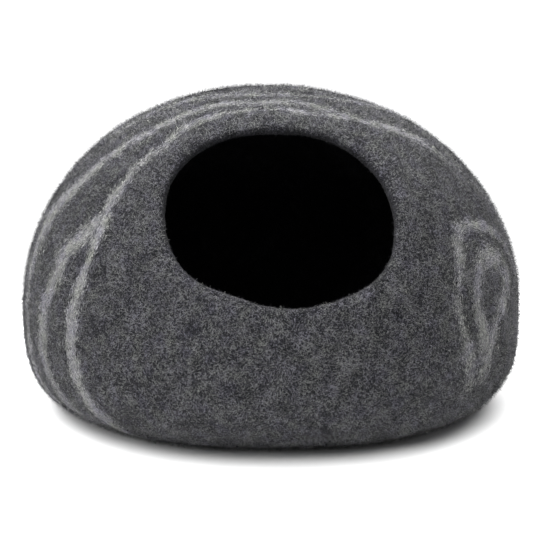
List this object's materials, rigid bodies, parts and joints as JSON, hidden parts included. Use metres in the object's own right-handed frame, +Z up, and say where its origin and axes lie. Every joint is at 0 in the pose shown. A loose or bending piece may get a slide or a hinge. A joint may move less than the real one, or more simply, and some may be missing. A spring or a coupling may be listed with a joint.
{
  "type": "felt cat cave",
  "caption": "Round cave bed for a cat in thick grey wool felt: a seamless low dome with a flat base and one wide mouth high on its front.",
  "frame": {"origin": "middle of the flat base, on the floor", "axes": "+Z up, the mouth faces -Y and upwards, +X to the right for someone facing the mouth"},
  "size_m": [0.4992, 0.4749, 0.319],
  "materials": {
    "wool_felt": "matte, heathered charcoal wet-felted wool with pale felted-in streaks"
  },
  "bodies": {
    "root": {"felt_shell": "wool_felt"}
  },
  "joints": []
}
